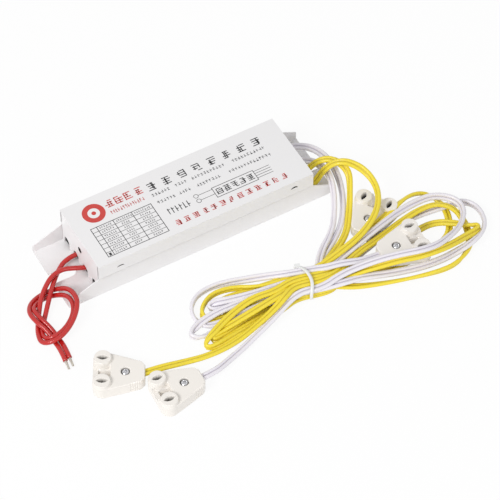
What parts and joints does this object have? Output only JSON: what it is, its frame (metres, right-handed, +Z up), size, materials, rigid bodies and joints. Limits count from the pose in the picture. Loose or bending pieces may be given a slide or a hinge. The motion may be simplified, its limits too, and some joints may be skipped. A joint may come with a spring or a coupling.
{
  "type": "fluorescent lamp ballast",
  "caption": "Electronic ballast in a slim folded steel case, with knotted mains wires and flat twin leads tied in a hank that end in push-on lamp pin holders.",
  "frame": {"origin": "middle of the case's underside", "axes": "+X along the case towards the lamp leads, +Y away from the hank, +Z up"},
  "size_m": [0.2168, 0.1134, 0.021],
  "materials": {
    "housing_steel": "satin, cool white coating on thin sheet",
    "insulating_film": "matte, slightly translucent",
    "paper_board": "matte",
    "ferrite": "matte",
    "coil_tape": "glossy film tape",
    "copper_wire": "lacquered",
    "component_glass": "clear",
    "black_epoxy": "matte",
    "capacitor_sleeve": "glossy sleeve",
    "film_capacitor_case": "glossy dip",
    "resistor_lacquer": "glossy lacquer",
    "holder_plastic": "semi-gloss, warm white",
    "contact_bronze": "satin",
    "screw_zinc": "bright zinc",
    "yellow_insulation": "semi-gloss, soft",
    "white_insulation": "semi-gloss, soft",
    "red_insulation": "semi-gloss, soft",
    "tinned_strand": "bright stranded",
    "tie_plastic": "satin"
  },
  "bodies": {
    "root": {"base_resistor_1": "resistor_lacquer", "base_resistor_2": "resistor_lacquer", "bulk_capacitor_1": "capacitor_sleeve", "bulk_capacitor_2": "capacitor_sleeve", "circuit_board": "paper_board", "cover": "housing_steel", "drive_ring_core": "ferrite", "drive_ring_winding": "copper_wire", "film_capacitor_1": "film_capacitor_case", "film_capacitor_2": "film_capacitor_case", "hank": "yellow_insulation", "input_choke_core": "ferrite", "input_choke_winding": "copper_wire", "input_fuse": "component_glass", "insulating_sheet": "insulating_film", "lamp_capacitor_1": "film_capacitor_case", "lamp_capacitor_2": "film_capacitor_case", "lamp_holder_1_back": "holder_plastic", "lamp_holder_1_body": "holder_plastic", "lamp_holder_1_contacts": "contact_bronze", "lamp_holder_1_screw": "screw_zinc", "lamp_holder_2_back": "holder_plastic", "lamp_holder_2_body": "holder_plastic", "lamp_holder_2_contacts": "contact_bronze", "lamp_holder_2_screw": "screw_zinc", "lamp_holder_3_back": "holder_plastic", "lamp_holder_3_body": "holder_plastic", "lamp_holder_3_contacts": "contact_bronze", "lamp_holder_3_screw": "screw_zinc", "lamp_holder_4_back": "holder_plastic", "lamp_holder_4_body": "holder_plastic", "lamp_holder_4_contacts": "contact_bronze", "lamp_holder_4_screw": "screw_zinc", "output_choke_1_coil": "coil_tape", "output_choke_1_core": "ferrite", "output_choke_2_coil": "coil_tape", "output_choke_2_core": "ferrite", "rectifier_diode_1": "black_epoxy", "rectifier_diode_2": "black_epoxy", "rectifier_diode_3": "black_epoxy", "rectifier_diode_4": "black_epoxy", "red_wire_1": "red_insulation", "red_wire_2": "red_insulation", "red_wire_tip_1": "tinned_strand", "red_wire_tip_2": "tinned_strand", "tie_band": "tie_plastic", "transistor_1": "black_epoxy", "transistor_2": "black_epoxy", "tray": "housing_steel", "trigger_diode": "component_glass", "white_lead_1": "white_insulation", "white_lead_2": "white_insulation", "white_tail_1": "white_insulation", "white_tail_2": "white_insulation", "yellow_lead_1": "yellow_insulation", "yellow_lead_2": "yellow_insulation", "yellow_tail_1": "yellow_insulation", "yellow_tail_2": "yellow_insulation"}
  },
  "joints": []
}
